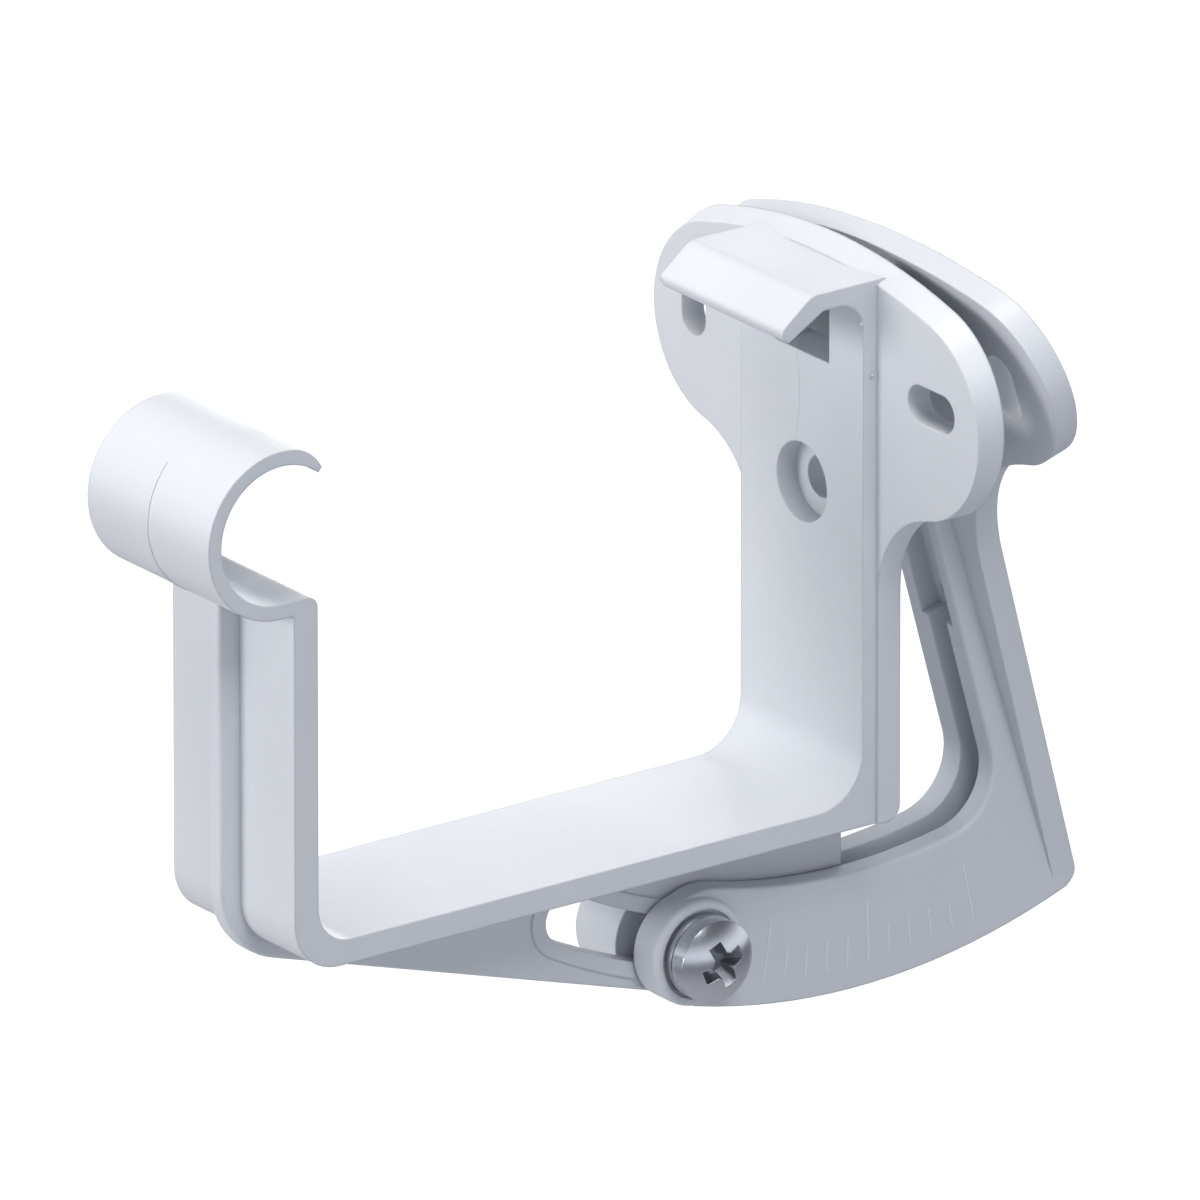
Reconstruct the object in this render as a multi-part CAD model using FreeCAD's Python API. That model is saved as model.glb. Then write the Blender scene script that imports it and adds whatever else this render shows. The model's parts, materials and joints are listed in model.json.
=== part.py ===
import FreeCAD, Part
import os
from math import acos, asin, atan2, cos, degrees, radians, sin, sqrt, tan

# Adjustable gutter bracket, in millimetres.
# X runs along the gutter, -Y is the front with the bead scroll, +Y is the fascia, +Z is up.
# The hook hangs upright. The rear plate, which is screwed to a sloping fascia, leans back from it.

# Strap of the gutter hook
strap_width = 28.0
floor_thickness = 3.55
front_wall = 4.0
strap_proud = 2.3
channel_width = 92.45
front_wall_height = 54.7
inner_bend_back = 7.5
inner_bend_front = 5.6
outer_bend = 7.5
heel_round = 2.2
wall_top_round = 1.7

# Scroll that the gutter's front bead snaps into
scroll_inner_radius = 10.0
scroll_wall = 2.15
scroll_reach = 6.1
scroll_tip_angle = 51.0
scroll_taper_angle = 26.0
scroll_tip_wall = 0.9

# Head of the hook's back plate
plate_thickness = 3.8
plate_step = 0.5
head_half_width = 38.0
head_top = 81.5
head_top_radius = 100.0
crown_fall = 1.6
rim_taper = 0.8
lobe_radius = 15.5
stem_fillet = 14.0

# Lip over the gutter's back edge
lip_drop = 1.9
lip_run = 14.9
lip_tip_reach = 20.4
lip_tip_drop = 4.4
lip_wall = 2.2
lip_roof_drop = 2.5
lip_roof_run = 12.9
lip_inner_round = 4.2
lip_crest_round = 3.0
lip_tip_round = 1.2

# Holes of the two head plates
near_slot_side = 26.4
far_slot_side = 28.0
rear_near_slot_side = 29.5
slot_length = 10.6
slot_width = 5.5
slot_drop = 13.6
screw_hole_drop = 31.5
screw_hole_radius = 3.0
counterbore_radius = 5.75
counterbore_depth = 3.3
window_half_width = 6.2
window_bottom_drop = 12.4
window_height = 7.9

# Hinge at the top: a bead on the rear plate turns in a groove in the hook's back
pivot_inset = 1.2
pivot_drop = 3.5
bead_radius = 1.6
bead_length = 21.0
bead_fit = 0.10
bead_end_gap = 0.3
neck_thickness = 1.5

# Web and front rib of the hook
web_thickness = 2.8
web_slope = 17.0
web_depth = 26.9
web_bend = 13.0
rib_depth = 3.5
rib_round = 0.6
slot_pad_width = 2.3
slot_pad_proud = 0.3
web_back_inset = 0.3
web_slot_width = 7.0

# Tilt of the rear plate and how far it can be set either way
rest_tilt = 17.5
tilt_closing = 11.0
tilt_opening = 9.0
slot_spare_angle = 1.0

# Rear plate
rear_thickness = 3.9
rear_stand_off = 3.7
rear_near_half_width = 40.3
rear_far_half_width = 37.3
rear_top_rise = 2.2
rear_top_radius = 112.0
rear_crown_shift = 8.0
rear_near_lobe_radius = 13.4
rear_far_lobe_radius = 11.3
tail_fillet = 26.0
tail_half_width = 9.6
tail_taper = 0.085
tail_taper_start = 55.0
tail_corner_round = 2.4

# Fork on the rear plate: two cheeks that guide the web and carry the clamp screw
cheek_thickness = 3.4
far_cheek_thickness = 4.3
cheek_gap = 0.4
cheek_top_drop = 38.0
cheek_lead = 4.0
cheek_slope = 2.0
cheek_height = 3.7
cheek_height_drop = 75.0
cheek_round = 0.6
arm_cover = 0.6
arm_depth = 17.0
arm_corner_radius = 8.5
arm_end_lag = 1.3
arm_end_inset = 0.05
recess_half_width = 3.5
recess_bottom_drop = 59.8
recess_height = 26.0
flange_window_height = 3.2

# Clamp screw, washer and nut
screw_angle = 33.85
screw_inset = 7.9
barrel_radius = 7.7
barrel_round = 1.0
near_boss_reach = 7.2
far_boss_reach = 11.3
screw_radius = 3.0
screw_clearance = 0.3
screw_length = 20.0
screw_head_radius = 6.0
screw_head_side = 2.7
screw_head_dome = 1.9
screw_point = 0.5
head_recess_radius = 6.4
head_recess_depth = 0.5
washer_thickness = 1.6
washer_bore_gap = 0.2
head_seat_gap = 0.05
nut_flats = 10.0
nut_height = 5.0
nut_bore_gap = 0.05
nut_pocket_gap = 0.1

# Places worked out from the sizes above
half_strap = strap_width / 2
stem_half_width = half_strap + plate_step
channel_back = -(plate_thickness + strap_proud)
channel_front = channel_back - channel_width
hook_front = channel_front - front_wall
pivot_height = head_top - pivot_drop
groove_half = web_thickness / 2 + slot_pad_proud + cheek_gap
screw_rest_angle = screw_angle - rest_tilt
web_edge_radius = pivot_height + web_depth
arm_outer_radius = web_edge_radius + arm_cover
arm_inner_radius = arm_outer_radius - arm_depth
screw_circle_radius = arm_outer_radius - screw_inset
pivot = FreeCAD.Vector(0, -pivot_inset, pivot_height)
X_AXIS = FreeCAD.Vector(1, 0, 0)


def in_yz(y, z, x=0.0):
    return FreeCAD.Vector(x, y, z)


def in_xz(x, z, y=0.0):
    return FreeCAD.Vector(x, y, z)


def around(centre, radius, angle):
    """Point on a circle in a plane, its angle counted in degrees from the first axis."""
    a = radians(angle)
    return (centre[0] + radius * cos(a), centre[1] + radius * sin(a))


def below_pivot(radius, angle):
    """Y and Z of a point under the pivot, with its angle counted towards the front."""
    a = radians(angle)
    return (pivot.y - radius * sin(a), pivot.z - radius * cos(a))


def arc_edge(place, start, middle, end):
    return Part.Arc(place(*start), place(*middle), place(*end)).toShape()


def line_edge(place, start, end):
    return Part.LineSegment(place(*start), place(*end)).toShape()


def rounded_wire(place, corners):
    """Closed outline through corners (a, b, radius), each rounded by its own radius."""
    edges, joins = [], []
    count = len(corners)
    for i, (a, b, radius) in enumerate(corners):
        here = FreeCAD.Vector(a, b, 0)
        before = FreeCAD.Vector(corners[i - 1][0], corners[i - 1][1], 0) - here
        after = FreeCAD.Vector(corners[(i + 1) % count][0], corners[(i + 1) % count][1], 0) - here
        if radius == 0:
            joins.append(((a, b), None, (a, b)))
            continue
        before.normalize()
        after.normalize()
        half = before.getAngle(after) / 2
        middle = (before + after).normalize()
        start = here + before * (radius / tan(half))
        end = here + after * (radius / tan(half))
        bulge = here + middle * (radius / sin(half) - radius)
        joins.append(((start.x, start.y), (bulge.x, bulge.y), (end.x, end.y)))
    for i, (start, bulge, end) in enumerate(joins):
        if bulge:
            edges.append(arc_edge(place, start, bulge, end))
        following = joins[(i + 1) % count][0]
        edges.append(line_edge(place, end, following))
    return Part.Wire(edges)


def slab(wire, direction):
    return Part.Face(wire).extrude(direction)


def rod(radius, start_x, end_x, y, z):
    return Part.makeCylinder(radius, end_x - start_x, in_yz(y, z, start_x), X_AXIS)


def lean_back(shape):
    """Turn a solid from the upright rear plate's place to its place on the sloping fascia."""
    turned = shape.copy()
    turned.rotate(pivot, X_AXIS, rest_tilt)
    return turned


def mirrored(shape):
    return shape.mirror(FreeCAD.Vector(0, 0, 0), X_AXIS)


def half_outline(side, crown, top_radius, half_width, lobe, fillet, side_point, side_lean, bottom):
    """Arcs down one side of a head plate, from the crown to the stem, and the stem's two corners."""
    crown_x = crown[0] * side
    lobe_x = half_width - lobe
    lobe_z = crown[1] + sqrt((top_radius - lobe) ** 2 - (lobe_x - crown_x) ** 2)
    along = FreeCAD.Vector(side_lean, 1, 0).normalize()
    outward = FreeCAD.Vector(along.y, -along.x, 0)
    offset = FreeCAD.Vector(side_point[0] - lobe_x, side_point[1] - lobe_z, 0) + outward * fillet
    reach = offset.dot(along)
    step = -reach - sqrt(reach ** 2 - offset.dot(offset) + (lobe + fillet) ** 2)
    centre = FreeCAD.Vector(lobe_x, lobe_z, 0) + offset + along * step
    touch = centre - outward * fillet
    foot = (touch.x + side_lean * (bottom - touch.y), bottom)

    crown_angle = degrees(atan2(lobe_z - crown[1], lobe_x - crown_x))
    low_angle = degrees(atan2(centre.y - lobe_z, centre.x - lobe_x))
    fillet_end = degrees(atan2(touch.y - centre.y, touch.x - centre.x)) % 360
    points = [around((crown_x, crown[1]), top_radius, crown_angle),
              around((lobe_x, lobe_z), lobe, (crown_angle + low_angle) / 2),
              around((lobe_x, lobe_z), lobe, low_angle),
              around((centre.x, centre.y), fillet, (low_angle + 180 + fillet_end) / 2),
              (touch.x, touch.y), foot]
    return [(x * side, z) for x, z in points]


def head_outline(y, top, top_radius, crown_shift, near, far, *stem):
    """Mushroom outline of a head plate in X and Z: crown arc, two lobes and a narrow stem."""
    crown = (crown_shift, top - top_radius)
    right = half_outline(1, crown, top_radius, *near, *stem)
    left = half_outline(-1, crown, top_radius, *far, *stem)

    def place(x, z):
        return in_xz(x, z, y)

    edges = [arc_edge(place, left[0], (crown_shift, top), right[0]),
             arc_edge(place, right[0], right[1], right[2]),
             arc_edge(place, right[2], right[3], right[4]),
             line_edge(place, right[4], right[5]), line_edge(place, right[5], left[5]),
             line_edge(place, left[5], left[4]),
             arc_edge(place, left[4], left[3], left[2]),
             arc_edge(place, left[2], left[1], left[0])]
    return Part.Wire(edges)


def obround(x, z, length, width, upright, start_y, depth):
    """Cutter for a slot with round ends, its long way up or across."""
    across = (width, length) if upright else (length, width)
    half_x, half_z = across[0] / 2, across[1] / 2
    radius = width / 2 - 0.001
    corners = [(x - half_x, z - half_z, radius), (x + half_x, z - half_z, radius),
               (x + half_x, z + half_z, radius), (x - half_x, z + half_z, radius)]
    cutter = slab(rounded_wire(in_xz, corners), FreeCAD.Vector(0, depth, 0))
    cutter.translate(FreeCAD.Vector(0, start_y, 0))
    return cutter


def strap():
    """U-shaped strap with the lip over its back wall."""
    lip_top = head_top - lip_drop
    tip_z = lip_top - lip_tip_drop
    corners = [(hook_front, front_wall_height, 0), (hook_front, 0, outer_bend), (0, 0, heel_round),
               (0, lip_top, 0),
               (-lip_run, lip_top, lip_crest_round), (-lip_tip_reach, tip_z, lip_tip_round),
               (-lip_tip_reach + lip_wall * 0.65, tip_z - lip_wall * 0.75, 0.5),
               (-lip_roof_run, lip_top - lip_roof_drop, 1.5),
               (channel_back, lip_top - lip_roof_drop, lip_inner_round),
               (channel_back, floor_thickness, inner_bend_back),
               (channel_front, floor_thickness, inner_bend_front),
               (channel_front, front_wall_height, wall_top_round)]
    profile = rounded_wire(lambda y, z: in_yz(y, z, -half_strap), corners)
    return slab(profile, X_AXIS * strap_width)


def scroll():
    """C-shaped curl that grips the gutter's bead, thinning to its tip."""
    outer = scroll_inner_radius + scroll_wall
    centre = (channel_front - scroll_reach, front_wall_height + scroll_inner_radius)
    thin = scroll_tip_angle + scroll_taper_angle
    tip_in = around(centre, scroll_inner_radius, scroll_tip_angle)
    tip_out = around(centre, scroll_inner_radius + scroll_tip_wall, scroll_tip_angle)
    taper_out = around(centre, scroll_inner_radius + (scroll_wall + scroll_tip_wall) / 2 + 0.25,
                       scroll_tip_angle + scroll_taper_angle / 2)
    thin_out = around(centre, outer, thin)
    foot_in, foot_out = around(centre, scroll_inner_radius, 270), around(centre, outer, 270)
    inner_mid = around(centre, scroll_inner_radius, (scroll_tip_angle + 270) / 2)
    outer_mid = around(centre, outer, (thin + 270) / 2)
    root_y = channel_front - front_wall / 2
    edges = [arc_edge(in_yz, tip_in, inner_mid, foot_in),
             line_edge(in_yz, foot_in, (root_y, foot_in[1])),
             line_edge(in_yz, (root_y, foot_in[1]), (root_y, foot_out[1])),
             line_edge(in_yz, (root_y, foot_out[1]), foot_out),
             arc_edge(in_yz, foot_out, outer_mid, thin_out),
             arc_edge(in_yz, thin_out, taper_out, tip_out),
             line_edge(in_yz, tip_out, tip_in)]
    curl = slab(Part.Wire(edges), X_AXIS * strap_width)
    curl.translate(X_AXIS * -half_strap)
    return curl


def hook_head():
    """Mushroom back plate of the hook, its rim drawn in towards the front."""
    stem = (stem_fillet, (stem_half_width, 0.0), 0.0, 0.0)
    wide, narrow = (head_half_width, lobe_radius), (head_half_width - rim_taper, lobe_radius - rim_taper)
    back = head_outline(0.0, head_top, head_top_radius, 0.0, wide, wide, *stem)
    front = head_outline(-plate_thickness, head_top - crown_fall, head_top_radius - crown_fall, 0.0,
                         narrow, narrow, *stem)
    plate = Part.makeLoft([back, front], True, True)
    heel = [(-2 * plate_thickness, 0, 0), (0, 0, heel_round), (0, 2 * head_top, 0),
            (-2 * plate_thickness, 2 * head_top, 0)]
    heel_wire = rounded_wire(lambda y, z: in_yz(y, z, -head_half_width), heel)
    return plate.common(slab(heel_wire, X_AXIS * (2 * head_half_width)))


def edges_near(shape, test):
    """Edges of a solid whose middle point passes a test."""
    chosen = []
    for edge in shape.Edges:
        first, last = edge.ParameterRange
        if test(edge.valueAt((first + last) / 2), edge):
            chosen.append(edge)
    return chosen


def rounded(shape, radius, test):
    chosen = edges_near(shape, test)
    return shape.makeFillet(radius, chosen)


def web():
    """Central web under the floor, with a pad round the curved slot for the clamp screw."""
    front = hook_front - rib_depth
    back = -web_back_inset
    edge_start = below_pivot(web_edge_radius, web_slope)
    back_angle = degrees(asin((pivot.y - back) / web_edge_radius))
    edge_end = below_pivot(web_edge_radius, back_angle)
    edge_mid = below_pivot(web_edge_radius, (web_slope + back_angle) / 2)
    lean = radians(web_slope)
    low = edge_start[1] + (edge_start[0] - front - web_bend) * tan(lean)
    bend_centre = (front + web_bend, low + web_bend / cos(lean))
    bend_start = (front, bend_centre[1])
    bend_mid = around(bend_centre, web_bend, 225 - web_slope / 2)
    bend_end = around(bend_centre, web_bend, 270 - web_slope)
    top = front_wall_height - scroll_wall / 2
    inner = hook_front + front_wall / 2
    inside = floor_thickness / 2
    edges = [line_edge(in_yz, (inner, top), (front, top)), line_edge(in_yz, (front, top), bend_start),
             arc_edge(in_yz, bend_start, bend_mid, bend_end),
             line_edge(in_yz, bend_end, edge_start),
             arc_edge(in_yz, edge_start, edge_mid, edge_end),
             line_edge(in_yz, edge_end, (back, inside)),
             line_edge(in_yz, (back, inside), (inner, inside)),
             line_edge(in_yz, (inner, inside), (inner, top))]
    plate = slab(Part.Wire(edges), X_AXIS * web_thickness)
    plate.translate(X_AXIS * -(web_thickness / 2))
    plate = rounded(plate, rib_round, lambda p, e: abs(p.x) > web_thickness / 4
                    and (p.y < front + web_bend / 2 and p.z < top - 1) and p.y < hook_front - rib_round)
    half = web_thickness / 2 + slot_pad_proud
    under_edge = rod(web_edge_radius, -half, half, pivot.y, pivot.z)
    pad = slot_shape(slot_pad_width, half).common(under_edge)
    below_floor = Part.makeBox(2 * half, -2 * hook_front, 2 * web_depth,
                               FreeCAD.Vector(-half, hook_front, inside - 2 * web_depth))
    return plate.fuse(pad.common(below_floor)).cut(slot_shape(0, half + 1))


def slot_shape(margin, half_thickness):
    """Curved slot about the pivot in which the clamp screw travels, or a margin round it."""
    front_end = screw_rest_angle + tilt_closing + slot_spare_angle
    back_end = screw_rest_angle - tilt_opening - slot_spare_angle
    half = web_slot_width / 2 + margin
    inner, outer = screw_circle_radius - half, screw_circle_radius + half
    middle = (front_end + back_end) / 2
    spare = degrees(half / screw_circle_radius)
    edges = [arc_edge(in_yz, below_pivot(inner, front_end), below_pivot(inner, middle),
                      below_pivot(inner, back_end)),
             arc_edge(in_yz, below_pivot(inner, back_end),
                      below_pivot(screw_circle_radius, back_end - spare), below_pivot(outer, back_end)),
             arc_edge(in_yz, below_pivot(outer, back_end), below_pivot(outer, middle),
                      below_pivot(outer, front_end)),
             arc_edge(in_yz, below_pivot(outer, front_end),
                      below_pivot(screw_circle_radius, front_end + spare),
                      below_pivot(inner, front_end))]
    shape = slab(Part.Wire(edges), X_AXIS * (2 * half_thickness))
    shape.translate(X_AXIS * -half_thickness)
    return shape


def hinge_groove():
    half = bead_length / 2 + bead_end_gap
    return rod(bead_radius + bead_fit, -half, half, pivot.y, pivot.z)


def gutter_hook():
    body = strap().fuse([hook_head(), scroll(), web()]).removeSplitter()
    far_side, near_side = -far_slot_side, near_slot_side
    slot_z = pivot_height - slot_drop
    hole_z = pivot_height - screw_hole_drop
    depth = plate_thickness + strap_proud
    cuts = [obround(near_side, slot_z, slot_length, slot_width, False, -depth, depth + 1),
            obround(far_side, slot_z, slot_length, slot_width, True, -depth, depth + 1)]
    y_axis = FreeCAD.Vector(0, 1, 0)
    cuts.append(Part.makeCylinder(screw_hole_radius, depth + 2, in_yz(-depth - 1, hole_z), y_axis))
    cuts.append(Part.makeCylinder(counterbore_radius, counterbore_depth + 1,
                                  in_yz(channel_back - 1, hole_z), y_axis))
    window_z = pivot_height - window_bottom_drop
    cuts.append(Part.makeBox(2 * window_half_width, depth + 1, window_height,
                             FreeCAD.Vector(-window_half_width, -depth - 0.5, window_z)))
    cuts.append(hinge_groove())
    return body.cut(cuts).removeSplitter()


def rear_flange():
    """Upright head plate and tapering tail of the rear plate, before it leans back."""
    top = pivot_height + rear_top_rise
    bottom = pivot_height - arm_outer_radius - 1
    outline = head_outline(pivot.y + rear_stand_off, top, rear_top_radius, rear_crown_shift,
                           (rear_near_half_width, rear_near_lobe_radius),
                           (rear_far_half_width, rear_far_lobe_radius),
                           tail_fillet, (tail_half_width, pivot_height - tail_taper_start),
                           tail_taper, bottom)
    plate = slab(outline, FreeCAD.Vector(0, rear_thickness, 0))
    wide = 3 * rear_near_half_width
    limit = rod(arm_outer_radius, -wide / 2, wide / 2, pivot.y, pivot.z)
    head_room = Part.makeBox(wide, wide, arm_outer_radius,
                             FreeCAD.Vector(-wide / 2, -wide / 2, pivot_height - tail_taper_start))
    plate = plate.common(limit.fuse(head_room))
    back = pivot.y + rear_stand_off + rear_thickness
    return rounded(plate, tail_corner_round, lambda p, e: abs(p.y - back) < 0.01
                   and p.z < pivot_height - arm_inner_radius and abs(p.x) < tail_half_width / 4)


def cheek_front(drop):
    """Y of a cheek's front edge at a drop below the pivot, on the upright rear plate."""
    height = cheek_height + (drop - cheek_height_drop) * tan(radians(cheek_slope))
    return pivot.y + rear_stand_off - height


def cheek(thickness):
    """One side of the fork: a straight stretch down the flange that bends into the arm."""
    root_y = pivot.y + rear_stand_off + rear_thickness / 2
    lean = radians(cheek_slope)
    line_offset = cheek_front(0) - pivot.y
    centre_gap = line_offset * cos(lean) - arm_corner_radius
    bend_reach = arm_inner_radius - arm_corner_radius
    bend_angle = degrees(asin(centre_gap / bend_reach)) - cheek_slope
    bend_centre = below_pivot(bend_reach, -bend_angle)
    line_touch = (bend_centre[0] + arm_corner_radius * cos(lean),
                  bend_centre[1] + arm_corner_radius * sin(lean))
    arc_touch = below_pivot(arm_inner_radius, -bend_angle)
    touch_end = degrees(atan2(arc_touch[1] - bend_centre[1], arc_touch[0] - bend_centre[0]))
    bend_mid = around(bend_centre, arm_corner_radius, (cheek_slope + touch_end) / 2)
    back_angle = -degrees(asin((root_y - pivot.y) / arm_outer_radius))
    end_angle = screw_angle - arm_end_lag
    inner_mid = below_pivot(arm_inner_radius, (end_angle - bend_angle) / 2)
    outer_mid = below_pivot(arm_outer_radius, (end_angle + back_angle) / 2)
    inner_end = below_pivot(arm_inner_radius, end_angle)
    outer_end = below_pivot(arm_outer_radius, end_angle)
    outer_back = below_pivot(arm_outer_radius, back_angle)
    top = (root_y, pivot_height - cheek_top_drop)
    lead_start = (pivot.y + rear_stand_off, top[1])
    lead_end = (cheek_front(cheek_top_drop + cheek_lead), top[1] - cheek_lead)
    edges = [line_edge(in_yz, top, lead_start), line_edge(in_yz, lead_start, lead_end),
             line_edge(in_yz, lead_end, line_touch), arc_edge(in_yz, line_touch, bend_mid, arc_touch),
             arc_edge(in_yz, arc_touch, inner_mid, inner_end),
             line_edge(in_yz, inner_end, outer_end),
             arc_edge(in_yz, outer_end, outer_mid, outer_back), line_edge(in_yz, outer_back, top)]
    side = slab(Part.Wire(edges), X_AXIS * thickness)
    side.translate(X_AXIS * groove_half)
    outer_x = groove_half + thickness
    side = rounded(side, cheek_round, lambda p, e: abs(p.x - outer_x) < 0.01
                   and p.z < lead_end[1] - 1 and p.y < root_y - 1
                   and sqrt((p.y - pivot.y) ** 2 + (p.z - pivot.z) ** 2) < arm_inner_radius + 0.1)
    middle = below_pivot(arm_outer_radius - arm_depth / 2, end_angle)
    end = rod(arm_depth / 2 - arm_end_inset, groove_half, outer_x, *middle)
    return side.fuse(rounded(end, cheek_round, lambda p, e: p.x > outer_x - 0.01))


def screw_place():
    return below_pivot(screw_circle_radius, screw_angle)


def near_boss():
    y, z = screw_place()
    boss = rod(barrel_radius, groove_half, near_boss_reach, y, z)
    boss = rounded(boss, barrel_round, lambda p, e: p.x > near_boss_reach - 0.01)
    return boss.cut(rod(head_recess_radius, near_boss_reach - head_recess_depth,
                        near_boss_reach + 1, y, z))


def far_boss():
    y, z = screw_place()
    return rod(barrel_radius, -far_boss_reach, -groove_half, y, z)


def hex_prism(across_flats, start_x, length, y, z):
    corner = across_flats / 2 / cos(radians(30))
    points = [around((y, z), corner, screw_angle + 60 * i) for i in range(6)]
    wire = rounded_wire(lambda a, b: in_yz(a, b, start_x), [(a, b, 0) for a, b in points])
    return slab(wire, X_AXIS * length)


def hinge_bead():
    """Round bead on the hinge line and the neck that joins it to the rear plate."""
    bead = rod(bead_radius, -bead_length / 2, bead_length / 2, pivot.y, pivot.z)
    mean_tilt = rest_tilt + (tilt_opening - tilt_closing) / 2
    half = neck_thickness / 2
    reach = (rear_stand_off + 1) / cos(radians(mean_tilt))
    neck = Part.makeBox(bead_length, reach, neck_thickness,
                        FreeCAD.Vector(-bead_length / 2, pivot.y, pivot.z - half))
    neck.rotate(pivot, X_AXIS, -mean_tilt)
    return bead.fuse(neck)


def rear_plate():
    y, z = screw_place()
    front = pivot.y + rear_stand_off
    near, far = cheek(cheek_thickness), mirrored(cheek(far_cheek_thickness))
    body = rear_flange().fuse([near, far, near_boss(), far_boss(), hinge_bead()])
    slot_z = pivot_height - slot_drop
    hole_z = pivot_height - screw_hole_drop
    depth = rear_thickness + 2
    ledge_z = pivot_height - recess_bottom_drop
    recess = Part.makeBox(2 * recess_half_width, 30, recess_height,
                          FreeCAD.Vector(-recess_half_width, front - 30, ledge_z))
    window = Part.makeBox(2 * groove_half, depth, flange_window_height,
                          FreeCAD.Vector(-groove_half, front - 1, ledge_z))
    cuts = [obround(rear_near_slot_side, slot_z, slot_length, slot_width, True, front - 1, depth),
            obround(-far_slot_side, slot_z, slot_length, slot_width, False, front - 1, depth),
            Part.makeCylinder(screw_hole_radius, depth, in_yz(front - 1, hole_z),
                              FreeCAD.Vector(0, 1, 0)),
            recess, window,
            rod(screw_radius + screw_clearance, -far_boss_reach - 1, near_boss_reach + 1, y, z),
            hex_prism(nut_flats + 2 * nut_pocket_gap, -far_boss_reach - 1,
                      nut_height + 1 + 2 * nut_pocket_gap, y, z)]
    return lean_back(body.cut(cuts).removeSplitter())


def washer_seat():
    return near_boss_reach - head_recess_depth


def clamp_washer():
    y, z = screw_place()
    ring = rod(screw_head_radius, washer_seat(), washer_seat() + washer_thickness, y, z)
    bore = rod(screw_radius + washer_bore_gap, washer_seat() - 1,
               washer_seat() + washer_thickness + 1, y, z)
    return lean_back(ring.cut(bore))


def clamp_screw():
    """Pan head screw: a pointed shank and a head with a shallow dome."""
    y, z = screw_place()
    under_head = washer_seat() + washer_thickness + head_seat_gap
    rim = under_head + screw_head_side
    end = under_head - screw_length
    dome = (screw_head_radius ** 2 + screw_head_dome ** 2) / (2 * screw_head_dome)
    apex = rim + screw_head_dome
    head = rod(screw_head_radius, under_head, apex, y, z)
    head = head.common(Part.makeSphere(dome, in_yz(y, z, apex - dome)))
    point = Part.makeCone(screw_radius - screw_point, screw_radius, screw_point, in_yz(y, z, end), X_AXIS)
    shank = rod(screw_radius, end + screw_point, under_head + screw_head_side / 2, y, z)
    return lean_back(head.fuse([point, shank]).removeSplitter())


def clamp_nut():
    y, z = screw_place()
    start = -far_boss_reach + nut_pocket_gap
    body = hex_prism(nut_flats, start, nut_height, y, z)
    return lean_back(body.cut(rod(screw_radius + nut_bore_gap, start - 1, start + nut_height + 1, y, z)))


def fascia_hole():
    """Where the rear plate's middle screw hole meets the fascia: the origin of the part."""
    upright = in_yz(pivot.y + rear_stand_off + rear_thickness, pivot_height - screw_hole_drop)
    return lean_back(Part.Vertex(upright)).Point


def main():
    os.makedirs("parts", exist_ok=True)
    nodes = {"gutter_hook": gutter_hook(), "rear_plate": rear_plate(), "clamp_screw": clamp_screw(),
             "clamp_washer": clamp_washer(), "clamp_nut": clamp_nut()}
    origin = fascia_hole()
    for name, shape in nodes.items():
        shape.translate(-origin)
        shape.exportStep("parts/" + name + ".step")
        box = shape.BoundBox
        print(name, "solids", len(shape.Solids), "valid", shape.isValid(),
              "volume", round(shape.Volume, 1),
              "box", [round(v, 2) for v in (box.XMin, box.YMin, box.ZMin, box.XMax, box.YMax, box.ZMax)])
    print("origin shift", origin, "pivot", pivot - origin)


main()
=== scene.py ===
import json
import logging
from dataclasses import dataclass, field
from enum import Enum
from math import cos, pi, radians, sin

import bmesh
import bpy
from mathutils import Matrix, Vector


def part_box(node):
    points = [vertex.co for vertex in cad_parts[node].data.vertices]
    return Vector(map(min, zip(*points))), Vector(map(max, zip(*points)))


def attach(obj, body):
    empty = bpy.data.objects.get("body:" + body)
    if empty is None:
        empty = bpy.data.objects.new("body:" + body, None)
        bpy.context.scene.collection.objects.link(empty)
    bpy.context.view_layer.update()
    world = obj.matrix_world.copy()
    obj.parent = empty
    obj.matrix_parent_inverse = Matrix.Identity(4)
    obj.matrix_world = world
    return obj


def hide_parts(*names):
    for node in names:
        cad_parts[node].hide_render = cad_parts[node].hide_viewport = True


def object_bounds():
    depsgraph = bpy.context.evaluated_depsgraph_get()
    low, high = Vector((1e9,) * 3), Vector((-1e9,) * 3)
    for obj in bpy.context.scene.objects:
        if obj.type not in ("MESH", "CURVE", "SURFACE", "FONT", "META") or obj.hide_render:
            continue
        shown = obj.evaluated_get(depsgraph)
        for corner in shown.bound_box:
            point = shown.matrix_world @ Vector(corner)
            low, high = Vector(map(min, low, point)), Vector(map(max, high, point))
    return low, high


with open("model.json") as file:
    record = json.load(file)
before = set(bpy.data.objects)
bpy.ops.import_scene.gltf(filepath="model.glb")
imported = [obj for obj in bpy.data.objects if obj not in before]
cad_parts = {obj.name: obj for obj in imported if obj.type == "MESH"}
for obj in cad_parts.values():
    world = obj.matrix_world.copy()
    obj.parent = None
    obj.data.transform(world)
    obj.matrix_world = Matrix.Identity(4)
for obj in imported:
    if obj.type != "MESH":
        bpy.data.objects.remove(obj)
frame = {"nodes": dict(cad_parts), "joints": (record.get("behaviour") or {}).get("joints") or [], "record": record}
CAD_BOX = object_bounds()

log = logging.getLogger("gutter_bracket")

MM = 0.001
Colour = tuple[float, float, float]


class Body(Enum):
    """The rigid bodies that pieces ride on."""

    REAR = "rear"
    HOOK = "hook"
    SCREW = "screw"


class Slot(Enum):
    """The record's material slots."""

    HOOK = "hook_plastic"
    PLATE = "plate_plastic"
    SCREW = "screw_steel"
    WASHER = "washer_steel"
    NUT = "nut_steel"


class TickKind(Enum):
    """Lines of the scale, with the radius at which each kind begins, in millimetres."""

    LONG = 93.5
    SHORT = 97.3


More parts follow.
